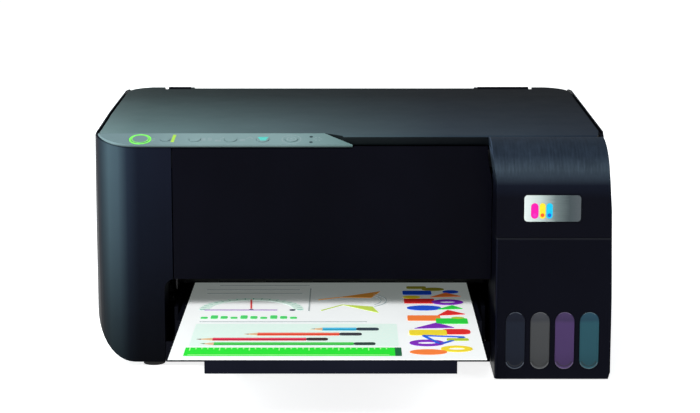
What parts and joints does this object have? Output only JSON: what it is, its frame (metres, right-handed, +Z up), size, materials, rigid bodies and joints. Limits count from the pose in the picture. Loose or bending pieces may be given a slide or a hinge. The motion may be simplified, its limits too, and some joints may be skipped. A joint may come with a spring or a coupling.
{
  "type": "ink tank inkjet printer",
  "caption": "Desktop all-in-one inkjet printer with a flatbed scanner lid, refillable ink tanks with front level windows, rear paper feed and a pull-out output tray holding a printed sheet.",
  "frame": {"origin": "centre of the bounding box's bottom face, on the table, with the output tray pulled out and a sheet on it", "axes": "+X towards the ink tanks, +Y towards the rear paper feeder, +Z up; the output tray comes out towards -Y"},
  "size_m": [0.375, 0.4626, 0.1775],
  "materials": {
    "shell_plastic": "satin fine-grained blue-black moulded plastic",
    "top_plastic": "matte dark slate plastic with fine ribbing",
    "inner_plastic": "matte dark grey plastic",
    "button_plastic": "matte dark plastic",
    "indicator_light": "translucent green light ring",
    "rubber": "matte black rubber",
    "steel": "zinc-plated sheet steel",
    "badge_metal": "brushed silver-grey label plate",
    "scanner_glass": "clear float glass",
    "mat_foam": "white foam backed sheet",
    "paper": "white copy paper with coloured print",
    "circuit_board": "green solder mask",
    "white_plastic": "natural acetal",
    "black_ink_tank": "translucent tank filled with black ink",
    "yellow_ink_tank": "translucent tank filled with dark yellow-brown ink",
    "magenta_ink_tank": "translucent tank filled with purple ink",
    "cyan_ink_tank": "translucent tank filled with teal ink"
  },
  "bodies": {
    "cabinet": {"lower_case": "inner_plastic", "left_cover": "shell_plastic", "right_cover": "shell_plastic", "front_cover": "shell_plastic", "rear_cover": "shell_plastic", "foot_front_left": "rubber", "foot_rear_left": "rubber", "foot_rear_right": "rubber", "foot_front_right": "rubber", "tank_case": "shell_plastic", "ink_tank_black": "black_ink_tank", "ink_tank_yellow": "yellow_ink_tank", "ink_tank_magenta": "magenta_ink_tank", "ink_tank_cyan": "cyan_ink_tank", "main_frame": "steel", "timing_belt": "rubber", "carriage_motor": "steel", "platen": "inner_plastic", "capping_station": "white_plastic", "mainboard": "circuit_board", "power_supply": "inner_plastic", "ac_inlet": "inner_plastic", "usb_port": "steel"},
    "tank_cover_body": {"tank_cover": "shell_plastic", "badge": "badge_metal"},
    "scanner_unit": {"scanner_base": "inner_plastic", "scanner_frame": "inner_plastic", "scanner_glass": "scanner_glass", "control_panel": "top_plastic", "power_light": "indicator_light"},
    "cover_hinges": {"cover_hinge_left": "top_plastic", "cover_hinge_right": "top_plastic"},
    "cover": {"document_cover": "top_plastic", "cover_mat": "mat_foam"},
    "scan_head": {"cis_carriage": "inner_plastic"},
    "carriage": {"print_carriage": "inner_plastic"},
    "drive_pulley_body": {"drive_pulley": "white_plastic"},
    "idler_pulley_body": {"idler_pulley": "white_plastic"},
    "feed_roller_body": {"feed_roller": "steel"},
    "idler_gear_body": {"idler_gear": "white_plastic"},
    "eject_roller_body": {"eject_roller": "rubber"},
    "pickup_roller_body": {"pickup_roller": "rubber"},
    "paper_support_body": {"paper_support": "shell_plastic"},
    "support_extension_body": {"support_extension": "shell_plastic"},
    "feeder_guard_body": {"feeder_guard": "shell_plastic"},
    "edge_guide_left_body": {"edge_guide_left": "inner_plastic"},
    "edge_guide_right_body": {"edge_guide_right": "inner_plastic"},
    "tray": {"output_tray": "inner_plastic"},
    "tray_extension_body": {"tray_extension": "inner_plastic"},
    "sheet": {"printed_sheet": "paper"},
    "tank_cap_black_body": {"tank_cap_black": "rubber"},
    "tank_cap_yellow_body": {"tank_cap_yellow": "rubber"},
    "tank_cap_magenta_body": {"tank_cap_magenta": "rubber"},
    "tank_cap_cyan_body": {"tank_cap_cyan": "rubber"},
    "power_button_body": {"power_button": "button_plastic"},
    "network_button_body": {"network_button": "button_plastic"},
    "info_button_body": {"info_button": "button_plastic"},
    "copy_mono_button_body": {"copy_mono_button": "button_plastic"},
    "copy_colour_button_body": {"copy_colour_button": "button_plastic"},
    "stop_button_body": {"stop_button": "button_plastic"}
  },
  "joints": [
    {"name": "tank_cover_hinge", "type": "hinge", "parent": "cabinet", "child": "tank_cover_body", "pos_m": [0.145, -0.07485, 0.1664], "axis": [-1, 0, 0], "range_deg": [0, 95]},
    {"name": "scanner_lift", "type": "hinge", "parent": "cabinet", "child": "scanner_unit", "pos_m": [0, 0.17575, 0.1575], "axis": [-1, 0, 0], "range_deg": [0, 24]},
    {"name": "cover_lift", "type": "slide", "parent": "scanner_unit", "child": "cover_hinges", "axis": [0, 0, 1], "range_m": [0, 0.01]},
    {"name": "cover_hinge", "type": "hinge", "parent": "cover_hinges", "child": "cover", "pos_m": [0, 0.18275, 0.1685], "axis": [-1, 0, 0], "range_deg": [0, 70]},
    {"name": "scan_travel", "type": "slide", "parent": "scanner_unit", "child": "scan_head", "axis": [1, 0, 0], "range_m": [0, 0.276]},
    {"name": "carriage_travel", "type": "slide", "parent": "cabinet", "child": "carriage", "axis": [-1, 0, 0], "range_m": [0, 0.24]},
    {"name": "drive_pulley_spin", "type": "hinge", "parent": "cabinet", "child": "drive_pulley_body", "pos_m": [0.164, 0.09075, 0.112], "axis": [0, 1, 0], "continuous": true},
    {"name": "idler_pulley_spin", "type": "hinge", "parent": "cabinet", "child": "idler_pulley_body", "pos_m": [-0.118, 0.09075, 0.112], "axis": [0, 1, 0], "continuous": true},
    {"name": "feed_roller_spin", "type": "hinge", "parent": "cabinet", "child": "feed_roller_body", "pos_m": [0, 0.08775, 0.0505], "axis": [1, 0, 0], "continuous": true},
    {"name": "idler_gear_spin", "type": "hinge", "parent": "cabinet", "child": "idler_gear_body", "pos_m": [0, 0.03534, 0.05993], "axis": [1, 0, 0], "continuous": true},
    {"name": "eject_roller_spin", "type": "hinge", "parent": "cabinet", "child": "eject_roller_body", "pos_m": [0, -0.00625, 0.0525], "axis": [1, 0, 0], "continuous": true},
    {"name": "pickup_roller_spin", "type": "hinge", "parent": "cabinet", "child": "pickup_roller_body", "pos_m": [0, 0.16168, 0.07098], "axis": [1, 0, 0], "continuous": true},
    {"name": "support_raise", "type": "slide", "parent": "cabinet", "child": "paper_support_body", "axis": [0, 0.4226, 0.9063], "range_m": [0, 0.055]},
    {"name": "support_extend", "type": "slide", "parent": "paper_support_body", "child": "support_extension_body", "axis": [0, 0.4226, 0.9063], "range_m": [0, 0.045]},
    {"name": "feeder_guard_hinge", "type": "hinge", "parent": "cabinet", "child": "feeder_guard_body", "pos_m": [-0.016, 0.19875, 0.1645], "axis": [1, 0, 0], "range_deg": [0, 50]},
    {"name": "edge_guide_left_slide", "type": "slide", "parent": "cabinet", "child": "edge_guide_left_body", "axis": [1, 0, 0], "range_m": [0, 0.06]},
    {"name": "edge_guide_right_slide", "type": "slide", "parent": "cabinet", "child": "edge_guide_right_body", "axis": [1, 0, 0], "range_m": [-0.06, 0]},
    {"name": "tray_slide", "type": "slide", "parent": "cabinet", "child": "tray", "axis": [0, 1, 0], "range_m": [0, 0.041]},
    {"name": "tray_extension_slide", "type": "slide", "parent": "tray", "child": "tray_extension_body", "axis": [0, 1, 0], "range_m": [0, 0.107]},
    {"name": "sheet_slide", "type": "slide", "parent": "cabinet", "child": "sheet", "axis": [0, -1, 0], "range_m": [0, 0.1]},
    {"name": "tank_cap_black_hinge", "type": "hinge", "parent": "cabinet", "child": "tank_cap_black_body", "pos_m": [0.1191, -0.07725, 0.1024], "axis": [-1, 0, 0], "range_deg": [0, 90]},
    {"name": "tank_cap_yellow_hinge", "type": "hinge", "parent": "cabinet", "child": "tank_cap_yellow_body", "pos_m": [0.13675, -0.07725, 0.1024], "axis": [-1, 0, 0], "range_deg": [0, 90]},
    {"name": "tank_cap_magenta_hinge", "type": "hinge", "parent": "cabinet", "child": "tank_cap_magenta_body", "pos_m": [0.1544, -0.07725, 0.1024], "axis": [-1, 0, 0], "range_deg": [0, 90]},
    {"name": "tank_cap_cyan_hinge", "type": "hinge", "parent": "cabinet", "child": "tank_cap_cyan_body", "pos_m": [0.17205, -0.07725, 0.1024], "axis": [-1, 0, 0], "range_deg": [0, 90]},
    {"name": "power_button_press", "type": "slide", "parent": "scanner_unit", "child": "power_button_body", "axis": [0, 0.3099, -0.9508], "range_m": [0, 0.0008], "stiffness_N_per_m": 400},
    {"name": "network_button_press", "type": "slide", "parent": "scanner_unit", "child": "network_button_body", "axis": [0, 0.3099, -0.9508], "range_m": [0, 0.0008], "stiffness_N_per_m": 400},
    {"name": "info_button_press", "type": "slide", "parent": "scanner_unit", "child": "info_button_body", "axis": [0, 0.3099, -0.9508], "range_m": [0, 0.0008], "stiffness_N_per_m": 400},
    {"name": "copy_mono_button_press", "type": "slide", "parent": "scanner_unit", "child": "copy_mono_button_body", "axis": [0, 0.3099, -0.9508], "range_m": [0, 0.0008], "stiffness_N_per_m": 400},
    {"name": "copy_colour_button_press", "type": "slide", "parent": "scanner_unit", "child": "copy_colour_button_body", "axis": [0, 0.3099, -0.9508], "range_m": [0, 0.0008], "stiffness_N_per_m": 400},
    {"name": "stop_button_press", "type": "slide", "parent": "scanner_unit", "child": "stop_button_body", "axis": [0, 0.3099, -0.9508], "range_m": [0, 0.0008], "stiffness_N_per_m": 400}
  ],
  "couplings": [
    {"joint": "drive_pulley_spin", "follows": "carriage_travel", "rad_per_m": -149.25},
    {"joint": "idler_pulley_spin", "follows": "carriage_travel", "rad_per_m": -149.25},
    {"joint": "idler_gear_spin", "follows": "feed_roller_spin", "ratio": -0.60606},
    {"joint": "eject_roller_spin", "follows": "feed_roller_spin", "ratio": 2.2222},
    {"joint": "edge_guide_right_slide", "follows": "edge_guide_left_slide", "ratio": -1}
  ]
}
